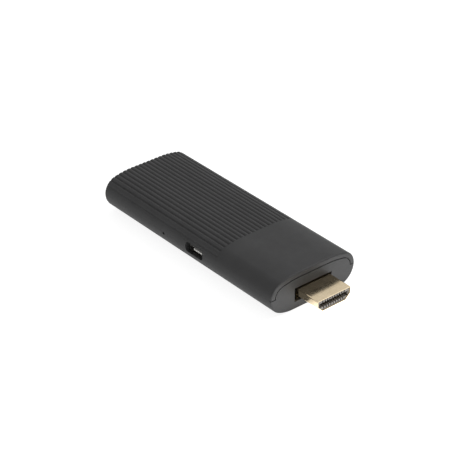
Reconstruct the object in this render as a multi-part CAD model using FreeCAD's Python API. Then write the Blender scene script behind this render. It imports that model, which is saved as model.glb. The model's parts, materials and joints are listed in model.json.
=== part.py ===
"""Streaming media player in the form of a stick that plugs into a television.

Frame, in millimetres: +X runs along the stick towards the plug, +Z is up, -Y is the long side with the
power port and the reset pinhole. The origin is the bottom centre of the box round the whole object.
"""
import math
import os

import FreeCAD
import Part

Vector = FreeCAD.Vector

# Housing
BODY_LENGTH = 85.5
BODY_HALF_WIDTH = 17.65
BODY_HEIGHT = 13.25
WIDEST_Z = 6.94
TOP_FLAT_HALF = 6.1
TOP_SIDE_RADIUS = 5.58
BOTTOM_FLAT_HALF = 8.3
BOTTOM_SIDE_RADIUS = 6.41
WALL = 1.7
END_WALL = 1.8
FRONT_EDGE_RADIUS = 0.5
REAR_EDGE_RADIUS = 0.25
SEAM_Z = 6.8
SEAM_GAP = 0.3
SEAM_DEPTH = 0.6
PARTING_GAP = 0.04
FIT_GAP = 0.06

# Ribs on both covers
RIB_ZONE_LENGTH = 58.7
RIB_PITCH = 1.69
RIB_GROOVES_EACH_SIDE = 10
TOP_GROOVE_DEPTH = 0.35
BOTTOM_GROOVE_DEPTH = 0.22
GROOVE_FLOOR_HALF = 0.12
SIDE_GROOVE_SHARE = 0.55
SIDE_GROOVE_INSET = 0.22

# Plug
PLUG_REACH = 9.6
PLUG_HALF_WIDTH = 6.95
PLUG_BOTTOM_HALF = 4.9
PLUG_TOP_Z = 7.40
PLUG_BOTTOM_Z = 2.95
PLUG_CHAMFER_Z = 5.0
PLUG_SHEET = 0.3
PLUG_CORNER = 0.4
CONTACT_PITCH = 1.0
CUTOUT_HALF_WIDTH = 7.75
CUTOUT_Z = (2.80, 7.80)

# Power port and reset pinhole, both on the -Y side
PORT_CENTRE_X = 0.25
PORT_CUT_HALF = 4.35
PORT_CUT_Z = (5.3, 8.85)
PORT_CUT_RADIUS = 1.2
PORT_HALF_WIDTH = 3.75
PORT_BOTTOM_HALF = 2.7
PORT_HEIGHT = 2.5
PORT_MOUTH_Y = -16.2
PORT_BACK_Y = -11.2
PORT_TONGUE_HALF = 2.1
PORT_TONGUE_Z = (5.95, 6.55)
PORT_BASE_Z = 5.1
PORT_SHEET = 0.25
PINHOLE_X = -15.45
PINHOLE_Z = 6.45
PINHOLE_RADIUS = 0.5

# Board
BOARD_BOTTOM_Z = 4.67
BOARD_TOP_Z = 5.67
BOARD_HALF_WIDTH = 15.0
BOARD_FRONT_X = 32.9
BOARD_HOLE_RADIUS = 0.95

# Snap tongues and board posts
TONGUE_XS = (-32.0, -8.0, 24.0)
TONGUE_HALF = 2.0
POST_RADIUS = 1.6
POST_Y = 12.4
REAR_POST_X = -37.0
FRONT_POST_X = 20.0
SCREW_PLACES = ((REAR_POST_X, POST_Y), (FRONT_POST_X, -POST_Y))
PEG_PLACES = ((REAR_POST_X, -POST_Y), (FRONT_POST_X, POST_Y))
SCREW_RADIUS = 0.75
STAKE_PLACES = ((-36.5, 8.0), (-36.5, -8.0), (6.5, 8.0), (6.5, -8.0))
STAKE_RADIUS = 0.8

# Shield over the main chip, and the plates that carry its heat away
SHIELD_X = (-32.0, -6.0)
SHIELD_HALF = 10.0
SHIELD_SHEET = 0.2
SHIELD_TOP_Z = 7.55
LID_TOP_Z = SHIELD_TOP_Z + SHIELD_SHEET
SINK_Z = 8.25
SINK_PLATE = 0.8

# Places that follow from the sizes above
REAR_X = -(BODY_LENGTH + PLUG_REACH) / 2
FRONT_X = REAR_X + BODY_LENGTH
TIP_X = FRONT_X + PLUG_REACH
RIB_END_X = REAR_X + RIB_ZONE_LENGTH
TOP_RISE = BODY_HEIGHT - WIDEST_Z
BOARD_REAR_X = REAR_X + WALL + 0.5
PLUG_REAR_X = BOARD_FRONT_X + 0.3


# ---------------------------------------------------------------- helpers

def block(x, y, z):
    """Box from three (low, high) pairs."""
    return Part.makeBox(x[1] - x[0], y[1] - y[0], z[1] - z[0], Vector(x[0], y[0], z[0]))


def chip(centre_x, centre_y, length, width, height, base_z=BOARD_TOP_Z):
    """Box component standing on the board, or on base_z."""
    return block(
        (centre_x - length / 2, centre_x + length / 2),
        (centre_y - width / 2, centre_y + width / 2),
        (base_z, base_z + height),
    )


def upright(radius, place, z):
    """Upright cylinder at an (x, y) place between two heights."""
    return Part.makeCylinder(radius, z[1] - z[0], Vector(place[0], place[1], z[0]))


def fuse_all(shapes):
    joined = shapes[0]
    for shape in shapes[1:]:
        joined = joined.fuse(shape)
    return joined.removeSplitter()


def rounded_wire(corners, radius):
    """Closed polygon whose corners are rounded to one radius."""
    edges = []
    arcs = []
    for index, corner in enumerate(corners):
        to_last = (corners[index - 1] - corner).normalize()
        to_next = (corners[(index + 1) % len(corners)] - corner).normalize()
        half_angle = to_last.getAngle(to_next) / 2
        reach = radius / math.tan(half_angle)
        inward = (to_last + to_next).normalize()
        middle = corner + inward * (radius / math.sin(half_angle) - radius)
        arcs.append((corner + to_last * reach, middle, corner + to_next * reach))
    for index, (start, middle, end) in enumerate(arcs):
        edges.append(Part.Arc(start, middle, end).toShape())
        edges.append(Part.makeLine(end, arcs[(index + 1) % len(arcs)][0]))
    return Part.Wire(edges)


def prism(wires, run):
    """Solid between an outer wire and any inner wires, swept along run."""
    face = Part.Face(wires[0])
    for hole in wires[1:]:
        face = face.cut(Part.Face(hole))
    return face.extrude(run)


# ---------------------------------------------------------------- housing section

def second_radius(rise, flat_half, side_radius):
    """Radius of the arc that joins the side arc to the flat, tangent to both."""
    reach = BODY_HALF_WIDTH - side_radius - flat_half
    return (reach ** 2 + rise ** 2 - side_radius ** 2) / (2 * (rise - side_radius))


class Quarter:
    """One quarter of the housing's section: a side arc, then a flatter arc up to the flat."""

    def __init__(self, rise, flat_half, side_radius, up):
        self.rise = rise
        self.flat_half = flat_half
        self.side_radius = side_radius
        self.up = up
        self.flat_radius = second_radius(rise, flat_half, side_radius)
        self.side_centre = BODY_HALF_WIDTH - side_radius
        self.join_angle = math.atan2(self.flat_radius - rise, self.side_centre - flat_half)

    def point(self, angle, inset):
        """(y, height above the widest line) at an angle from the side, moved inward by inset."""
        if angle <= self.join_angle:
            y = self.side_centre + (self.side_radius - inset) * math.cos(angle)
            height = (self.side_radius - inset) * math.sin(angle)
        else:
            y = self.flat_half + (self.flat_radius - inset) * math.cos(angle)
            height = self.rise - self.flat_radius + (self.flat_radius - inset) * math.sin(angle)
        return y, height

    def vector(self, x, side, angle, inset):
        y, height = self.point(angle, inset)
        return Vector(x, side * y, WIDEST_Z + self.up * height)

    def angle_at(self, y):
        """Angle of the outward normal at a distance y from the middle."""
        join_y = self.point(self.join_angle, 0)[0]
        if y >= join_y:
            return math.acos((y - self.side_centre) / self.side_radius)
        if y > self.flat_half:
            return math.acos((y - self.flat_half) / self.flat_radius)
        return math.pi / 2

    def arcs(self, x, side, inset):
        """The two arcs from the side to the flat."""
        stops = (0.0, self.join_angle, math.pi / 2)
        edges = []
        for low, high in zip(stops, stops[1:]):
            points = [self.vector(x, side, angle, inset) for angle in (low, (low + high) / 2, high)]
            edges.append(Part.Arc(*points).toShape())
        return edges


TOP_QUARTER = Quarter(TOP_RISE, TOP_FLAT_HALF, TOP_SIDE_RADIUS, 1)
BOTTOM_QUARTER = Quarter(WIDEST_Z, BOTTOM_FLAT_HALF, BOTTOM_SIDE_RADIUS, -1)


def section_wire(x, inset):
    """Outline of the housing across its length, moved inward by inset."""
    edges = []
    for quarter in (TOP_QUARTER, BOTTOM_QUARTER):
        for side in (1, -1):
            edges.extend(quarter.arcs(x, side, inset))
        ends = [quarter.vector(x, side, math.pi / 2, inset) for side in (1, -1)]
        edges.append(Part.makeLine(ends[0], ends[1]))
    return Part.Wire(Part.__sortEdges__(edges))


def housing_bar(x, inset):
    """Solid bar with the housing's section between two places along X."""
    return prism([section_wire(x[0], inset)], Vector(x[1] - x[0], 0, 0))


def below_seam(z=SEAM_Z):
    return block((REAR_X - 1, TIP_X), (-BODY_HALF_WIDTH - 1, BODY_HALF_WIDTH + 1), (-1, z))


def housing_blank():
    """Outer body with its two ends rounded over."""
    body = housing_bar((REAR_X, FRONT_X), 0)
    rear_edges = [e for e in body.Edges if e.BoundBox.XMax < 0]
    front_edges = [e for e in body.Edges if e.BoundBox.XMin > 0]
    return body.makeFillet(REAR_EDGE_RADIUS, rear_edges).makeFillet(FRONT_EDGE_RADIUS, front_edges)


def rib_groove(quarter, y, depth, side):
    """Cutter for one groove: a narrow floor between the flanks of two round-backed ribs."""
    angle = quarter.angle_at(y)
    foot = quarter.vector(REAR_X - 1, side, angle, 0)
    if y <= quarter.flat_half:
        foot.y = side * y
    normal = Vector(0, side * math.cos(angle), quarter.up * math.sin(angle))
    along = Vector(0, -normal.z, normal.y)
    crest = RIB_PITCH / 2
    flank = crest - GROOVE_FLOOR_HALF
    rib_radius = (flank ** 2 + depth ** 2) / (2 * depth)
    half_sweep = math.asin(flank / rib_radius) / 2
    bend = rib_radius * math.sin(half_sweep)
    sag = rib_radius * (1 - math.cos(half_sweep))

    def at(across, out):
        return foot + along * across + normal * out

    floor_left = at(-GROOVE_FLOOR_HALF, -depth)
    floor_right = at(GROOVE_FLOOR_HALF, -depth)
    outline = [
        Part.Arc(at(-crest, 0), at(bend - crest, -sag), floor_left).toShape(),
        Part.makeLine(floor_left, floor_right),
        Part.Arc(floor_right, at(crest - bend, -sag), at(crest, 0)).toShape(),
        Part.makeLine(at(crest, 0), at(crest, depth)),
        Part.makeLine(at(crest, depth), at(-crest, depth)),
        Part.makeLine(at(-crest, depth), at(-crest, 0)),
    ]
    return prism([Part.Wire(outline)], Vector(RIB_END_X - REAR_X + 1, 0, 0))


def rib_grooves(quarter, depth):
    """Cutters for the grooves of one cover; the outermost ones are shallower and a little further in."""
    side_y = RIB_GROOVES_EACH_SIDE * RIB_PITCH - SIDE_GROOVE_INSET
    side_depth = depth * SIDE_GROOVE_SHARE
    grooves = [rib_groove(quarter, 0, depth, 1)]
    for side in (-1, 1):
        for k in range(1, RIB_GROOVES_EACH_SIDE):
            grooves.append(rib_groove(quarter, k * RIB_PITCH, depth, side))
        grooves.append(rib_groove(quarter, side_y, side_depth, side))
    return grooves


def parting_line():
    """What is cut from the upper cover above the seam: a fine line, wider at the front."""
    line = below_seam(SEAM_Z + PARTING_GAP).cut(
        housing_bar((REAR_X + SEAM_DEPTH, FRONT_X - SEAM_DEPTH), SEAM_DEPTH))
    across = (-BODY_HALF_WIDTH - 1, BODY_HALF_WIDTH + 1)
    front = block((FRONT_X - SEAM_DEPTH, FRONT_X + 1), across, (SEAM_Z - 1, SEAM_Z + SEAM_GAP))
    return [line, front]


def port_cut():
    """Rounded opening for the power port, through the -Y wall of both covers."""
    left = PORT_CENTRE_X - PORT_CUT_HALF
    right = PORT_CENTRE_X + PORT_CUT_HALF
    low, high = PORT_CUT_Z
    outside_y = -BODY_HALF_WIDTH - 1
    corners = [Vector(left, outside_y, low), Vector(right, outside_y, low),
               Vector(right, outside_y, high), Vector(left, outside_y, high)]
    return prism([rounded_wire(corners, PORT_CUT_RADIUS)], Vector(0, WALL + 1.6, 0))


def port_pocket():
    """Pocket inside the wall that clears the mouth of the port's shell."""
    half = PORT_HALF_WIDTH + 0.1
    return block((PORT_CENTRE_X - half, PORT_CENTRE_X + half), (PORT_MOUTH_Y - 0.1, -14.5),
                 (PORT_BASE_Z - 0.1, PORT_BASE_Z + PORT_HEIGHT + 0.1))


def pinhole_cut():
    start = Vector(PINHOLE_X, -BODY_HALF_WIDTH - 1, PINHOLE_Z)
    return Part.makeCylinder(PINHOLE_RADIUS, WALL + 1.6, start, Vector(0, 1, 0))


def snap_tongue(x, side):
    """Tongue of the upper cover: a root on the wall, a leg and a catch at its foot."""
    span = (x - TONGUE_HALF, x + TONGUE_HALF)

    def piece(near, far, z):
        return block(span, sorted((side * near, side * far)), z)

    return [piece(14.45, 16.3, (7.2, 9.0)), piece(14.45, 15.3, (5.0, 7.2)), piece(15.3, 15.6, (5.35, 6.0))]


# ---------------------------------------------------------------- housing

def upper_cover():
    shell = housing_blank().cut(housing_bar((REAR_X + WALL, FRONT_X + 1), WALL)).cut(below_seam())
    openings = [port_cut(), port_pocket(), pinhole_cut()]
    shell = shell.cut(parting_line() + openings + rib_grooves(TOP_QUARTER, TOP_GROOVE_DEPTH))
    inside = []
    for x in TONGUE_XS:
        for side in (1, -1):
            inside.extend(snap_tongue(x, side))
    for place in STAKE_PLACES:
        inside.append(upright(STAKE_RADIUS, place, (SINK_Z - 0.6, 11.9)))
        inside.append(upright(STAKE_RADIUS + 0.5, place, (SINK_Z - 0.6, SINK_Z - 0.05)))
    return fuse_all([shell] + inside)


def end_wall():
    """Wall round the plug, with a tongue above the seam that fills the upper cover's open end."""
    low = housing_blank().common(below_seam())
    low = low.common(block((FRONT_X - END_WALL, FRONT_X + 1), (-20, 20), (-1, SEAM_Z)))
    high = housing_bar((FRONT_X - END_WALL, FRONT_X), WALL + FIT_GAP).cut(below_seam())
    seam_x = FRONT_X - SEAM_DEPTH
    seam = prism([section_wire(seam_x, WALL / 2), section_wire(seam_x, WALL + SEAM_GAP)], Vector(1, 0, 0))
    seam = seam.cut(below_seam())
    return low.fuse(high.cut(seam))


def lower_cover():
    shell = housing_blank().common(below_seam())
    shell = shell.cut(housing_bar((REAR_X + WALL, FRONT_X - END_WALL), WALL))
    pieces = [shell, end_wall()]
    for place in SCREW_PLACES + PEG_PLACES:
        pieces.append(upright(POST_RADIUS, place, (1.5, BOARD_BOTTOM_Z)))
    for place in PEG_PLACES:
        pieces.append(upright(SCREW_RADIUS, place, (1.5, BOARD_TOP_Z + 0.5)))
    for x in TONGUE_XS:
        for side in (1, -1):
            ledge = sorted((side * 15.35, side * 16.3))
            pieces.append(block((x - TONGUE_HALF, x + TONGUE_HALF), ledge, (6.05, 6.6)))
    cover = fuse_all(pieces)
    cutout = block((FRONT_X - END_WALL - 1, FRONT_X + 1), (-CUTOUT_HALF_WIDTH, CUTOUT_HALF_WIDTH), CUTOUT_Z)
    bores = [upright(SCREW_RADIUS, place, (2.4, BOARD_BOTTOM_Z)) for place in SCREW_PLACES]
    openings = [cutout, port_cut(), port_pocket(), pinhole_cut()]
    return cover.cut(openings + bores + rib_grooves(BOTTOM_QUARTER, BOTTOM_GROOVE_DEPTH))


# ---------------------------------------------------------------- plug

def plug_wire(x, inset):
    """Outline of the plug: square shoulders above, bevelled corners below."""
    bevel = inset * math.tan(math.radians(22.5))
    half = PLUG_HALF_WIDTH - inset
    low_half = PLUG_BOTTOM_HALF - bevel
    low = PLUG_BOTTOM_Z + inset
    bevel_top = PLUG_CHAMFER_Z + bevel
    high = PLUG_TOP_Z - inset
    corners = [Vector(x, -low_half, low), Vector(x, low_half, low), Vector(x, half, bevel_top),
               Vector(x, half, high), Vector(x, -half, high), Vector(x, -half, bevel_top)]
    return rounded_wire(corners, PLUG_CORNER - inset)


def hdmi_plug_shell():
    return prism([plug_wire(PLUG_REAR_X, 0), plug_wire(PLUG_REAR_X, PLUG_SHEET)],
                 Vector(TIP_X - PLUG_REAR_X, 0, 0))


SLOT_HALF_WIDTH = 6.0
SLOT_Z = (4.35, 5.95)
SLOT_REAR_X = 39.5
CONTACT_WIDTH = 0.4
CONTACT_FRONT_X = TIP_X - 1.0
CONTACT_THICK = 0.25
CONTACT_GROOVE_HALF = 0.23
UPPER_GROOVE = 0.85
LOWER_GROOVE = 0.75


def contact_row(count, first_y, beam, tail_z, tail_out):
    """Row of strips: a beam along the slot's wall, a step, and a tail soldered to the board."""
    tail = sorted((tail_z, tail_z + tail_out))
    step = (min(beam[0], tail[0]), max(beam[1], tail[1]))
    strips = []
    for index in range(count):
        y = first_y + index * CONTACT_PITCH
        span = (y - CONTACT_WIDTH / 2, y + CONTACT_WIDTH / 2)
        strips.append(fuse_all([
            block((BOARD_FRONT_X + 0.1, CONTACT_FRONT_X), span, beam),
            block((BOARD_FRONT_X + 0.1, PLUG_REAR_X), span, step),
            block((BOARD_FRONT_X - 1.9, PLUG_REAR_X), span, tail),
        ]))
    return strips


def upper_contacts():
    beam = (SLOT_Z[1] - 0.1, SLOT_Z[1] - 0.1 + CONTACT_THICK)
    return contact_row(10, -4.5 * CONTACT_PITCH, beam, BOARD_TOP_Z, 0.2)


def lower_contacts():
    beam = (SLOT_Z[0] + 0.1 - CONTACT_THICK, SLOT_Z[0] + 0.1)
    return contact_row(9, -4.0 * CONTACT_PITCH, beam, BOARD_BOTTOM_Z, -0.2)


def hdmi_insulator():
    """Moulding that fills the shell, with the slot and a groove beside each contact."""
    length = TIP_X - 0.35 - PLUG_REAR_X
    moulding = prism([plug_wire(PLUG_REAR_X, PLUG_SHEET)], Vector(length, 0, 0))
    slot = block((SLOT_REAR_X, TIP_X), (-SLOT_HALF_WIDTH, SLOT_HALF_WIDTH), SLOT_Z)
    grooves = []
    upper = (SLOT_Z[1], SLOT_Z[1] + UPPER_GROOVE)
    lower = (SLOT_Z[0] - LOWER_GROOVE, SLOT_Z[0])
    for count, groove_z in ((10, upper), (9, lower)):
        for index in range(count):
            y = (index - (count - 1) / 2) * CONTACT_PITCH
            across = (y - CONTACT_GROOVE_HALF, y + CONTACT_GROOVE_HALF)
            grooves.append(block((SLOT_REAR_X, TIP_X), across, groove_z))
    return moulding.cut([slot] + grooves + upper_contacts() + lower_contacts())


def hdmi_bracket():
    """Saddle over the plug: folded side plates with feet, legs through the board, and a strap on top."""
    outer = 7.6
    sheet = 0.3
    front = FRONT_X - 0.8
    strap_x = (PLUG_REAR_X + 0.2, PLUG_REAR_X + 1.4)
    pieces = [block(strap_x, (-outer, outer), (PLUG_TOP_Z, PLUG_TOP_Z + sheet))]
    for side in (1, -1):
        plate = sorted((side * (outer - sheet), side * outer))
        foot = sorted((side * 5.4, side * outer))
        pad = sorted((side * PLUG_HALF_WIDTH, side * outer))
        pieces.append(block(strap_x, plate, (PLUG_BOTTOM_Z, PLUG_TOP_Z + sheet)))
        pieces.append(block(strap_x, pad, (BOARD_TOP_Z, 6.4)))
        pieces.append(block((strap_x[0], front), plate, (PLUG_BOTTOM_Z, 4.9)))
        pieces.append(block((strap_x[0], front), foot, (PLUG_BOTTOM_Z, PLUG_BOTTOM_Z + 0.25)))
        pieces.append(block((28.5, strap_x[1]), plate, (BOARD_TOP_Z, 6.6)))
        pieces.append(block((29.0, 30.4), plate, (4.2, BOARD_TOP_Z)))
    return fuse_all(pieces)


# ---------------------------------------------------------------- power port

def port_wire(y, inset):
    """Outline of the port's shell: wide above, bevelled corners below."""
    half = PORT_HALF_WIDTH - inset
    low_half = PORT_BOTTOM_HALF - inset * 0.45
    low = PORT_BASE_Z + inset
    high = PORT_BASE_Z + PORT_HEIGHT - inset
    shoulder = PORT_BASE_Z + 1.15 + inset * 0.45
    places = [(-low_half, low), (low_half, low), (half, shoulder),
              (half, high), (-half, high), (-half, shoulder)]
    corners = [Vector(PORT_CENTRE_X + across, y, z) for across, z in places]
    return rounded_wire(corners, 0.4 - inset)


def usb_receptacle_shell():
    """Bent sheet shell that sinks into a notch of the board and stands on it with an ear on each side."""
    run = Vector(0, PORT_BACK_Y - PORT_MOUTH_Y, 0)
    pieces = [prism([port_wire(PORT_MOUTH_Y, 0), port_wire(PORT_MOUTH_Y, PORT_SHEET)], run)]
    for side in (1, -1):
        ear = sorted((PORT_CENTRE_X + side * 3.3, PORT_CENTRE_X + side * 5.0))
        pieces.append(block(ear, (-14.6, -12.6), (BOARD_TOP_Z, BOARD_TOP_Z + PORT_SHEET)))
    return fuse_all(pieces)


def usb_contact_row():
    """Five strips let into the top of the tongue, with tails on the board."""
    top = PORT_TONGUE_Z[1]
    strips = []
    for index in range(5):
        x = PORT_CENTRE_X + (index - 2) * 0.65
        span = (x - 0.15, x + 0.15)
        strips.append(fuse_all([
            block(span, (PORT_MOUTH_Y + 0.7, PORT_BACK_Y + 0.15), (top - 0.15, top)),
            block(span, (PORT_BACK_Y, PORT_BACK_Y + 0.15), (BOARD_TOP_Z, top)),
            block(span, (PORT_BACK_Y, PORT_BACK_Y + 1.1), (BOARD_TOP_Z, BOARD_TOP_Z + 0.15)),
        ]))
    return strips


def usb_tongue():
    """Plug of plastic at the back of the port, with a thin tongue towards its mouth."""
    back_y = PORT_BACK_Y - 1.2
    back = prism([port_wire(back_y, PORT_SHEET)], Vector(0, 1.2, 0))
    across = (PORT_CENTRE_X - PORT_TONGUE_HALF, PORT_CENTRE_X + PORT_TONGUE_HALF)
    tongue = block(across, (PORT_MOUTH_Y + 0.35, back_y + 0.2), PORT_TONGUE_Z)
    return back.fuse(tongue).cut(usb_contact_row())


# ---------------------------------------------------------------- reset switch

SWITCH_X = (PINHOLE_X - 2.25, PINHOLE_X + 2.25)
SWITCH_Y = (-14.6, -12.4)
SWITCH_TOP_Z = 7.7
CAVITY_Y = (-14.1, -12.7)
PLUNGER_HALF_WIDTH = 0.8
PLUNGER_HALF_HEIGHT = 0.5
PLUNGER_TIP_Y = -15.4
SLIDE_GAP = 0.05


def plunger_stem(grow, y):
    return block((PINHOLE_X - PLUNGER_HALF_WIDTH - grow, PINHOLE_X + PLUNGER_HALF_WIDTH + grow), y,
                 (PINHOLE_Z - PLUNGER_HALF_HEIGHT - grow, PINHOLE_Z + PLUNGER_HALF_HEIGHT + grow))


def plunger_flange(grow, y):
    return block((PINHOLE_X - 1.4 - grow, PINHOLE_X + 1.4 + grow), y,
                 (PINHOLE_Z - PLUNGER_HALF_HEIGHT - grow, PINHOLE_Z + PLUNGER_HALF_HEIGHT + grow))


def reset_switch_body():
    """Moulded case with a cavity for the flange and the dome, and a window for the stem."""
    case = block(SWITCH_X, SWITCH_Y, (BOARD_TOP_Z, SWITCH_TOP_Z))
    return case.cut([plunger_flange(SLIDE_GAP, CAVITY_Y), plunger_stem(SLIDE_GAP, (-15.0, CAVITY_Y[0]))])


def reset_switch_plunger():
    """Stem that a pin pushes, with a flange that keeps it in the case."""
    stem = plunger_stem(0, (PLUNGER_TIP_Y, -14.0))
    flange = plunger_flange(0, (CAVITY_Y[0] + SLIDE_GAP, -13.65))
    return stem.fuse(flange).removeSplitter()


def reset_switch_dome():
    """Snap dome: a thin cap whose crown faces the plunger."""
    sphere_radius = 1.6
    thickness = 0.1
    crown_y = -13.6
    centre = Vector(PINHOLE_X, crown_y + sphere_radius, PINHOLE_Z)
    cap = Part.makeSphere(sphere_radius, centre).cut(Part.makeSphere(sphere_radius - thickness, centre))
    return cap.common(block((PINHOLE_X - 1.3, PINHOLE_X + 1.3), (crown_y, CAVITY_Y[1]),
                            (PINHOLE_Z - 0.48, PINHOLE_Z + 0.48)))


def reset_switch_cover():
    """Sheet cover over the switch, folded down at both ends, with its feet on the board."""
    sheet = 0.15
    outer = block((SWITCH_X[0] - sheet, SWITCH_X[1] + sheet), (-14.2, -12.8),
                  (BOARD_TOP_Z, SWITCH_TOP_Z + sheet))
    return outer.cut(block(SWITCH_X, (-15, -12), (BOARD_TOP_Z - 1, SWITCH_TOP_Z)))


# ---------------------------------------------------------------- board and what stands on it

def main_board():
    board = block((BOARD_REAR_X, BOARD_FRONT_X), (-BOARD_HALF_WIDTH, BOARD_HALF_WIDTH),
                  (BOARD_BOTTOM_Z, BOARD_TOP_Z))
    upright_edges = [e for e in board.Edges if e.BoundBox.ZLength > 0.5]
    board = board.makeFillet(1.0, upright_edges)
    depth = (BOARD_BOTTOM_Z - 1, BOARD_TOP_Z + 1)
    cuts = [upright(BOARD_HOLE_RADIUS, place, depth) for place in SCREW_PLACES + PEG_PLACES]
    for side in (1, -1):
        cuts.append(block((28.9, 30.5), sorted((side * 7.2, side * 7.7)), depth))
        for x in TONGUE_XS:
            notch = (x - TONGUE_HALF - 0.5, x + TONGUE_HALF + 0.5)
            cuts.append(block(notch, sorted((side * 14.3, side * 16)), depth))
    port_notch = (PORT_CENTRE_X - PORT_HALF_WIDTH - 0.1, PORT_CENTRE_X + PORT_HALF_WIDTH + 0.1)
    cuts.append(block(port_notch, (-BOARD_HALF_WIDTH - 1, PORT_BACK_Y), depth))
    return board.cut(cuts)


def sheet_can(x, y, z, sheet):
    """Box of sheet metal, open below."""
    outer = block(x, y, z)
    inner = block((x[0] + sheet, x[1] - sheet), (y[0] + sheet, y[1] - sheet), (z[0] - 1, z[1] - sheet))
    return outer.cut(inner)


def shield_frame():
    outer = block(SHIELD_X, (-SHIELD_HALF, SHIELD_HALF), (BOARD_TOP_Z, SHIELD_TOP_Z))
    inner_half = SHIELD_HALF - SHIELD_SHEET
    inner = block((SHIELD_X[0] + SHIELD_SHEET, SHIELD_X[1] - SHIELD_SHEET), (-inner_half, inner_half),
                  (BOARD_TOP_Z - 1, SHIELD_TOP_Z + 1))
    return outer.cut(inner)


def shield_lid():
    grow = SHIELD_SHEET + 0.05
    return sheet_can((SHIELD_X[0] - grow, SHIELD_X[1] + grow), (-SHIELD_HALF - grow, SHIELD_HALF + grow),
                     (BOARD_TOP_Z + 0.6, LID_TOP_Z), SHIELD_SHEET)


def lower_shield():
    """Can on the underside of the board, open above."""
    outer = block((-28, -8), (-8, 8), (3.27, BOARD_BOTTOM_Z))
    inner = block((-27.8, -8.2), (-7.8, 7.8), (3.47, BOARD_BOTTOM_Z + 1))
    return outer.cut(inner)


def heat_sink():
    """Aluminium plate with fins, held by the upper cover's stakes."""
    plate = block((-38.5, 8.5), (-9.5, 9.5), (SINK_Z, SINK_Z + SINK_PLATE))
    fins = []
    for index in range(-3, 4):
        y = index * 2.2
        fins.append(block((-33.5, 3.5), (y - 0.4, y + 0.4), (SINK_Z, 11.0)))
    holes = [upright(STAKE_RADIUS + SLIDE_GAP, place, (SINK_Z - 1, 12)) for place in STAKE_PLACES]
    return fuse_all([plate] + fins).cut(holes)


def ceramic_capacitors():
    places = []
    for index in range(7):
        places.extend([(-28.5 + 2 * index, 7.8), (-28.5 + 2 * index, -7.8)])
    for index in range(4):
        places.extend([(8.6, -3.0 + 2 * index), (16.4, -3.0 + 2 * index)])
    return [chip(x, y, 1.0, 0.5, 0.5) for x, y in places]


def chip_resistors():
    places = [(27.5, -5.25 + 1.5 * index) for index in range(8)]
    places += [(-4.2, -6.0 + 1.5 * index) for index in range(4)]
    return [chip(x, y, 1.0, 0.5, 0.35) for x, y in places]


def board_screws():
    """Self-tapping pan-head screws with a cross recess."""
    screws = []
    for place in SCREW_PLACES:
        head = upright(1.4, place, (BOARD_TOP_Z, BOARD_TOP_Z + 0.9))
        shank = upright(SCREW_RADIUS, place, (2.6, BOARD_TOP_Z))
        x, y = place
        recess_z = (BOARD_TOP_Z + 0.4, BOARD_TOP_Z + 1)
        recess = [block((x - 0.8, x + 0.8), (y - 0.15, y + 0.15), recess_z),
                  block((x - 0.15, x + 0.15), (y - 0.8, y + 0.8), recess_z)]
        screws.append(fuse_all([head, shank]).cut(recess))
    return screws


def wireless_antenna():
    """Stamped antenna that stands at the rear edge of the board, with a slot and a feed leg."""
    x = (BOARD_REAR_X + 0.3, BOARD_REAR_X + 0.5)
    radiator = block(x, (-12.5, -2.5), (7.0, 9.4))
    legs = [block(x, (-12.5, -11.3), (BOARD_TOP_Z, 7.0)), block(x, (-9.5, -8.5), (BOARD_TOP_Z, 7.0))]
    return fuse_all([radiator] + legs).cut(block((x[0] - 1, x[1] + 1), (-10.3, -3.7), (7.9, 8.4)))


def power_inductors():
    return [chip(x, y, 4.0, 4.0, 1.9) for x, y in ((12.5, -7.0), (12.5, 9.0), (21.5, 4.5))]


def voltage_regulators():
    return [chip(x, y, 2.9, 1.6, 1.0) for x, y in ((7.2, -9.0), (22.5, -1.5), (22.5, -4.5))]


def memory_chips():
    return [chip(-11.0, y, 7.0, 8.4, 1.0) for y in (5.0, -5.0)]


NODES = {
    "upper_cover": upper_cover,
    "lower_cover": lower_cover,
    "hdmi_plug_shell": hdmi_plug_shell,
    "hdmi_insulator": hdmi_insulator,
    "hdmi_upper_contacts": upper_contacts,
    "hdmi_lower_contacts": lower_contacts,
    "hdmi_bracket": hdmi_bracket,
    "usb_receptacle_shell": usb_receptacle_shell,
    "usb_tongue": usb_tongue,
    "usb_contacts": usb_contact_row,
    "reset_switch_body": reset_switch_body,
    "reset_switch_plunger": reset_switch_plunger,
    "reset_switch_dome": reset_switch_dome,
    "reset_switch_cover": reset_switch_cover,
    "main_board": main_board,
    "media_processor": lambda: chip(-22.0, 0, 12.0, 12.0, 1.3),
    "memory_chips": memory_chips,
    "flash_chip": lambda: chip(-18.0, 0, 11.5, 13.0, 1.0, BOARD_BOTTOM_Z - 1.0),
    "power_manager": lambda: chip(12.5, 0.5, 5.0, 5.0, 0.8),
    "voltage_regulators": voltage_regulators,
    "power_inductors": power_inductors,
    "ceramic_capacitors": ceramic_capacitors,
    "chip_resistors": chip_resistors,
    "clock_crystal": lambda: chip(-2.5, 6.0, 3.2, 2.5, 0.7),
    "wireless_module": lambda: chip(-38.5, 2.5, 10.0, 12.0, 0.6),
    "wireless_shield": lambda: sheet_can((-43.1, -33.9), (-3.1, 8.1), (BOARD_TOP_Z + 0.6, 7.5), SHIELD_SHEET),
    "shield_frame": shield_frame,
    "shield_lid": shield_lid,
    "upper_thermal_pad": lambda: block((-30, -8), (-9, 9), (LID_TOP_Z, SINK_Z)),
    "heat_sink": heat_sink,
    "lower_shield": lower_shield,
    "lower_thermal_pad": lambda: block((-26, -10), (-7, 7), (WALL + 0.6, 3.27)),
    "heat_spreader": lambda: block((-34, 8), (-7.8, 7.8), (WALL, WALL + 0.6)),
    "wireless_antenna": wireless_antenna,
    "bluetooth_antenna": lambda: chip(-43.5, 11.5, 2.0, 5.0, 1.1),
    "board_screws": board_screws,
}


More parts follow.
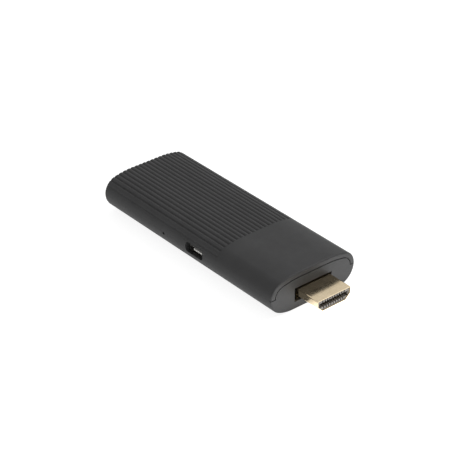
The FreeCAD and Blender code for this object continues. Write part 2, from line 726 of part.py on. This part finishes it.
def main():
    os.makedirs("parts", exist_ok=True)
    for name, make in NODES.items():
        made = make()
        solids = made if isinstance(made, list) else [made]
        loose = [solid for shape in solids for solid in shape.Solids]
        shape = loose[0] if len(loose) == 1 else Part.makeCompound(loose)
        shape.exportStep("parts/" + name + ".step")
        print(name, len(loose), "solids,", round(shape.Volume, 2), "mm3, valid", shape.isValid())


main()
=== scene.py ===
"""Looks of the streaming media player: materials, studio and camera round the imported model."""
import json
import math

import bpy
from mathutils import Matrix, Vector

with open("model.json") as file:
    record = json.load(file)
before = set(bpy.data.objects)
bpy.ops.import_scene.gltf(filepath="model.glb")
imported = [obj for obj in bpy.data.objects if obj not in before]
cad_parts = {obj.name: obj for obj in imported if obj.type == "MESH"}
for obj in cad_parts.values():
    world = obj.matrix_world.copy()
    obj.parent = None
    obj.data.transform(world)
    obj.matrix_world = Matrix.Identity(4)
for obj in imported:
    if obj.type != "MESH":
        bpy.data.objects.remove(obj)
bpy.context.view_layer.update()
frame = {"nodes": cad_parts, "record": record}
NODES = frame["nodes"]

MM = 0.001

# Studio: the way to the bright side of the sky, how far round from it the sky turns fully dark (a cosine),
# the strength of its dark and bright sides, and how far off the lights are, in metres
SKY_DIRECTION = (-0.65, 0.55, 0.53)
SKY_EDGE = -0.2
SKY_DARK = 0.24
SKY_BRIGHT = 0.88
LIGHT_DISTANCE = 1.2

# Floor, in metres, and the band of it past the end face that glows more: places along X in mm, with the
# share of the full glow at each
FLOOR_HALF = 3.0
FLOOR_Z = -0.02 * MM
FLOOR_GLOW = 3.2
BAND_FROM = 30
BAND_TO = 70
BAND = [(38, 0.27), (45.2, 1.0), (48.4, 1.0), (54.8, 0.34)]

# Camera: direction in degrees, distances in mm
CAMERA_AZIMUTH = 50.03
CAMERA_ELEVATION = 31.73
CAMERA_DISTANCE = 561.1
CAMERA_RIGHT = 1.446
CAMERA_DOWN = 0.993
BODY_CENTRE = (-4.85, 0, 6.94)
SENSOR_WIDTH = 36
LENS = 133.6


# ---------------------------------------------------------------- node helpers

class Shader:
    """A material whose nodes are added one by one.

    The base colour and roughness given here hold until colour_from and rough_from link over them.
    """

    def __init__(self, name, base, rough, metal=0.0, specular=0.5):
        self.material = bpy.data.materials.new(name)
        self.material.use_nodes = True
        self.tree = self.material.node_tree
        self.tree.nodes.clear()
        self.out = self.add("ShaderNodeOutputMaterial")
        self.surface = self.add("ShaderNodeBsdfPrincipled")
        self.link(self.surface.outputs["BSDF"], self.out.inputs["Surface"])
        self.surface.inputs["Base Color"].default_value = (*base, 1)
        self.surface.inputs["Roughness"].default_value = rough
        self.surface.inputs["Metallic"].default_value = metal
        self.surface.inputs["Specular IOR Level"].default_value = specular
        self.place = self.add("ShaderNodeTexCoord").outputs["Object"]
        self.normal = None

    def add(self, kind, **values):
        node = self.tree.nodes.new(kind)
        for key, value in values.items():
            setattr(node, key, value)
        return node

    def link(self, start, end):
        self.tree.links.new(start, end)

    def stretched(self, scale):
        """Object position with its three axes scaled."""
        mapping = self.add("ShaderNodeMapping")
        mapping.inputs["Scale"].default_value = scale
        self.link(self.place, mapping.inputs["Vector"])
        return mapping.outputs["Vector"]

    def noise(self, size_mm, detail=2.0, rough=0.5, stretch=(1, 1, 1)):
        """Noise whose features are about size_mm across."""
        noise = self.add("ShaderNodeTexNoise")
        noise.inputs["Scale"].default_value = 1 / (size_mm * MM)
        noise.inputs["Detail"].default_value = detail
        noise.inputs["Roughness"].default_value = rough
        self.link(self.stretched(stretch), noise.inputs["Vector"])
        return noise.outputs["Fac"]

    def cells(self, size_mm):
        """Distance to the nearest of many scattered points, for a pebbled grain."""
        cell = self.add("ShaderNodeTexVoronoi")
        cell.inputs["Scale"].default_value = 1 / (size_mm * MM)
        self.link(self.place, cell.inputs["Vector"])
        return cell.outputs["Distance"]

    def ramp(self, value, stops):
        """Colour ramp from (position, grey or rgb) stops."""
        ramp = self.add("ShaderNodeValToRGB")
        colours = ramp.color_ramp.elements
        while len(colours) < len(stops):
            colours.new(0.5)
        for element, (position, colour) in zip(colours, stops):
            element.position = position
            rgb = colour if isinstance(colour, tuple) else (colour,) * 3
            element.color = (*rgb, 1)
        self.link(value, ramp.inputs["Fac"])
        return ramp.outputs["Color"]

    def colour_from(self, value, stops):
        self.link(self.ramp(value, stops), self.surface.inputs["Base Color"])

    def rough_from(self, value, low, high):
        spread = self.add("ShaderNodeMapRange")
        spread.inputs["To Min"].default_value = low
        spread.inputs["To Max"].default_value = high
        self.link(value, spread.inputs["Value"])
        self.link(spread.outputs["Result"], self.surface.inputs["Roughness"])

    def bump(self, value, height_mm, strength=1.0):
        """Adds relief of a real height, on top of any relief added before."""
        bump = self.add("ShaderNodeBump")
        bump.inputs["Strength"].default_value = strength
        bump.inputs["Distance"].default_value = height_mm * MM
        self.link(value, bump.inputs["Height"])
        if self.normal is not None:
            self.link(self.normal, bump.inputs["Normal"])
        self.normal = bump.outputs["Normal"]
        self.link(self.normal, self.surface.inputs["Normal"])


# ---------------------------------------------------------------- materials

def housing_plastic():
    """Spark-eroded dark grey plastic: pebbled grain, faint mottling, slightly polished high spots."""
    shader = Shader("housing_plastic", (0.0295, 0.0295, 0.030), 0.5, specular=0.23)
    mottle = shader.noise(9.0, 4.0, 0.6)
    shader.colour_from(mottle, [(0.3, (0.0275, 0.0275, 0.028)), (0.7, (0.0325, 0.0325, 0.033))])
    shader.rough_from(shader.noise(2.5, 5.0, 0.65), 0.44, 0.60)
    shader.bump(shader.cells(0.22), 0.012, 0.8)
    shader.bump(shader.noise(0.09, 3.0, 0.6), 0.006, 0.7)
    return shader.material


def gold_plate():
    """Gold plated sheet with the fine lines of drawing along X and faint handling marks."""
    shader = Shader("gold_plate", (0.68, 0.555, 0.37), 0.15, metal=1.0)
    wash = shader.noise(3.0, 4.0, 0.6)
    shader.colour_from(wash, [(0.3, (0.64, 0.525, 0.35)), (0.7, (0.74, 0.615, 0.43))])
    shader.rough_from(shader.noise(0.35, 4.0, 0.6, (0.12, 1, 1)), 0.10, 0.20)
    shader.bump(shader.noise(0.12, 3.0, 0.6, (0.06, 1, 1)), 0.0006, 0.5)
    return shader.material


def black_moulding():
    """Glass-filled black moulding."""
    shader = Shader("black_moulding", (0.02, 0.02, 0.02), 0.5)
    shader.colour_from(shader.noise(0.6, 4.0), [(0.3, (0.013, 0.013, 0.014)), (0.7, (0.028, 0.027, 0.026))])
    shader.rough_from(shader.noise(0.3, 3.0), 0.38, 0.62)
    shader.bump(shader.noise(0.08, 3.0), 0.004, 0.7)
    return shader.material


def tinned_steel():
    """Bright tinned sheet with rolling lines and dull patches."""
    shader = Shader("tinned_steel", (0.78, 0.78, 0.76), 0.25, metal=1.0)
    shader.colour_from(shader.noise(2.0, 5.0), [(0.3, (0.62, 0.62, 0.60)), (0.7, (0.84, 0.84, 0.82))])
    shader.rough_from(shader.noise(0.5, 4.0, 0.6, (0.15, 1, 1)), 0.16, 0.38)
    shader.bump(shader.noise(0.15, 3.0, 0.6, (0.1, 1, 1)), 0.003, 0.5)
    return shader.material


def board_laminate():
    """Green solder mask over copper tracks and a woven laminate."""
    shader = Shader("board_laminate", (0.01, 0.09, 0.04), 0.35)
    tracks = shader.cells(1.6)
    shader.colour_from(tracks, [(0.30, (0.006, 0.075, 0.030)), (0.36, (0.014, 0.125, 0.050))])
    shader.rough_from(shader.noise(1.0, 4.0), 0.25, 0.45)
    shader.bump(tracks, 0.03, 0.6)
    return shader.material


def chip_mould():
    """Black epoxy with a fine blasted grain."""
    shader = Shader("chip_mould", (0.02, 0.02, 0.022), 0.6)
    shader.colour_from(shader.noise(0.8, 4.0), [(0.3, (0.014, 0.014, 0.016)), (0.7, (0.028, 0.028, 0.030))])
    shader.rough_from(shader.noise(0.4, 4.0), 0.5, 0.75)
    shader.bump(shader.noise(0.06, 3.0), 0.006, 0.8)
    return shader.material


def speckled(name, dark, light, size_mm, rough, relief_mm, metal):
    """Plain stock with a mottled colour, uneven gloss and a fine relief."""
    shader = Shader(name, light, rough[1], metal=metal)
    shader.colour_from(shader.noise(size_mm, 4.0), [(0.3, dark), (0.7, light)])
    shader.rough_from(shader.noise(size_mm / 2, 4.0), *rough)
    shader.bump(shader.noise(size_mm / 6, 3.0), relief_mm, 0.7)
    return shader.material


SPECKLED = {
    # slot: dark colour, light colour, mottle size in mm, roughness range, relief in mm, metal
    "grey_moulding": ((0.15, 0.14, 0.125), (0.22, 0.20, 0.18), 0.5, (0.35, 0.55), 0.004, 0.0),
    "pale_moulding": ((0.72, 0.71, 0.67), (0.86, 0.85, 0.82), 0.5, (0.35, 0.55), 0.004, 0.0),
    "dull_nickel": ((0.09, 0.087, 0.084), (0.16, 0.155, 0.15), 0.6, (0.4, 0.6), 0.003, 1.0),
    "ceramic_tan": ((0.38, 0.26, 0.15), (0.52, 0.38, 0.24), 0.4, (0.3, 0.5), 0.004, 0.0),
    "resistor_body": ((0.03, 0.03, 0.032), (0.07, 0.07, 0.075), 0.4, (0.2, 0.4), 0.004, 0.0),
    "inductor_body": ((0.10, 0.10, 0.11), (0.18, 0.18, 0.19), 0.5, (0.5, 0.8), 0.01, 0.0),
    "thermal_pad": ((0.28, 0.42, 0.54), (0.38, 0.54, 0.66), 1.0, (0.6, 0.85), 0.02, 0.0),
    "sheet_aluminium": ((0.66, 0.66, 0.67), (0.80, 0.80, 0.81), 1.5, (0.25, 0.45), 0.006, 1.0),
    "screw_steel": ((0.22, 0.22, 0.23), (0.38, 0.38, 0.39), 0.5, (0.3, 0.5), 0.004, 1.0),
    "white_ceramic": ((0.70, 0.70, 0.66), (0.84, 0.84, 0.80), 0.5, (0.25, 0.45), 0.004, 0.0),
    "switch_stem": ((0.42, 0.04, 0.03), (0.60, 0.07, 0.05), 0.4, (0.35, 0.55), 0.004, 0.0),
}


def all_materials():
    """Every material by the name of its slot."""
    materials = {
        "housing_plastic": housing_plastic(),
        "gold_plate": gold_plate(),
        "black_moulding": black_moulding(),
        "tinned_steel": tinned_steel(),
        "board_laminate": board_laminate(),
        "chip_mould": chip_mould(),
    }
    for slot, looks in SPECKLED.items():
        materials[slot] = speckled(slot, *looks)
    return materials


def dress_nodes():
    """Gives each CAD node the material of its slot."""
    materials = all_materials()
    for part in frame["record"]["subparts"]:
        mesh = NODES[part["node"]].data
        mesh.materials.clear()
        mesh.materials.append(materials[part["material_slot"]])


# ---------------------------------------------------------------- studio

def direction(azimuth, elevation):
    """Unit vector from the stick towards a place seen at this azimuth and elevation, in degrees."""
    a = math.radians(azimuth)
    e = math.radians(elevation)
    return Vector((math.sin(a) * math.cos(e), -math.cos(a) * math.cos(e), math.sin(e)))


def plain_floor():
    """Pale floor that the stick lies on, self-lit so that it stays white."""
    corners = [(-FLOOR_HALF, -FLOOR_HALF, FLOOR_Z), (FLOOR_HALF, -FLOOR_HALF, FLOOR_Z),
               (FLOOR_HALF, FLOOR_HALF, FLOOR_Z), (-FLOOR_HALF, FLOOR_HALF, FLOOR_Z)]
    mesh = bpy.data.meshes.new("floor")
    mesh.from_pydata(corners, [], [(0, 1, 2, 3)])
    floor = bpy.data.objects.new("floor", mesh)
    bpy.context.collection.objects.link(floor)
    shader = Shader("floor_white", (0.3, 0.3, 0.3), 0.9, specular=0.1)
    apart = shader.add("ShaderNodeSeparateXYZ")
    shader.link(shader.place, apart.inputs["Vector"])
    along = shader.add("ShaderNodeMapRange")
    along.inputs["From Min"].default_value = BAND_FROM * MM
    along.inputs["From Max"].default_value = BAND_TO * MM
    shader.link(apart.outputs["X"], along.inputs["Value"])
    stops = [((x - BAND_FROM) / (BAND_TO - BAND_FROM), share) for x, share in BAND]
    glow = shader.ramp(along.outputs["Result"], stops)
    shader.link(glow, shader.surface.inputs["Emission Color"])
    shader.surface.inputs["Emission Strength"].default_value = FLOOR_GLOW
    mesh.materials.append(shader.material)


def area_light(name, azimuth, elevation, size, power):
    """Square soft light, placed by its direction seen from the middle of the stick."""
    light = bpy.data.lights.new(name, "AREA")
    light.shape = "SQUARE"
    light.size = size
    light.energy = power
    lamp = bpy.data.objects.new(name, light)
    bpy.context.collection.objects.link(lamp)
    towards = direction(azimuth, elevation)
    lamp.location = towards * LIGHT_DISTANCE
    lamp.rotation_mode = "QUATERNION"
    lamp.rotation_quaternion = (-towards).to_track_quat("-Z", "Y")


def sky():
    """Sky that is brightest high over the rear far side and darkest opposite it."""
    world = bpy.data.worlds.new("studio")
    world.use_nodes = True
    tree = world.node_tree
    background = tree.nodes["Background"]
    background.inputs["Color"].default_value = (1, 1, 1, 1)
    facing = tree.nodes.new("ShaderNodeVectorMath")
    facing.operation = "DOT_PRODUCT"
    facing.inputs[1].default_value = SKY_DIRECTION
    spread = tree.nodes.new("ShaderNodeMapRange")
    spread.inputs["From Min"].default_value = SKY_EDGE
    spread.inputs["From Max"].default_value = 1.0
    spread.inputs["To Min"].default_value = SKY_DARK
    spread.inputs["To Max"].default_value = SKY_BRIGHT
    tree.links.new(tree.nodes.new("ShaderNodeTexCoord").outputs["Generated"], facing.inputs[0])
    tree.links.new(facing.outputs["Value"], spread.inputs["Value"])
    tree.links.new(spread.outputs["Result"], background.inputs["Strength"])
    bpy.context.scene.world = world


def studio():
    """Sky, a key light over the +Y side, a weak one at the rear of the port side, a fill on the plug end."""
    sky()
    area_light("key", azimuth=165, elevation=55, size=0.5, power=7.0)
    area_light("side", azimuth=-46, elevation=25, size=0.8, power=1.2)
    area_light("fill", azimuth=84, elevation=6, size=0.9, power=9.5)
    view = bpy.context.scene.view_settings
    view.view_transform = "Standard"
    view.look = "None"


def camera():
    """Long-lens view from the plug end of the side with the power port."""
    back = direction(CAMERA_AZIMUTH, CAMERA_ELEVATION)
    azimuth = math.radians(CAMERA_AZIMUTH)
    right = Vector((math.cos(azimuth), math.sin(azimuth), 0))
    up = back.cross(right)
    data = bpy.data.cameras.new("camera")
    data.sensor_width = SENSOR_WIDTH
    data.lens = LENS
    data.clip_start = 0.01
    data.clip_end = 20
    view = bpy.data.objects.new("camera", data)
    bpy.context.collection.objects.link(view)
    offset = back * CAMERA_DISTANCE + right * CAMERA_RIGHT - up * CAMERA_DOWN
    turn = Matrix((right, up, back)).transposed()
    view.matrix_world = Matrix.Translation((Vector(BODY_CENTRE) + offset) * MM) @ turn.to_4x4()
    bpy.context.scene.camera = view


dress_nodes()
plain_floor()
studio()
camera()
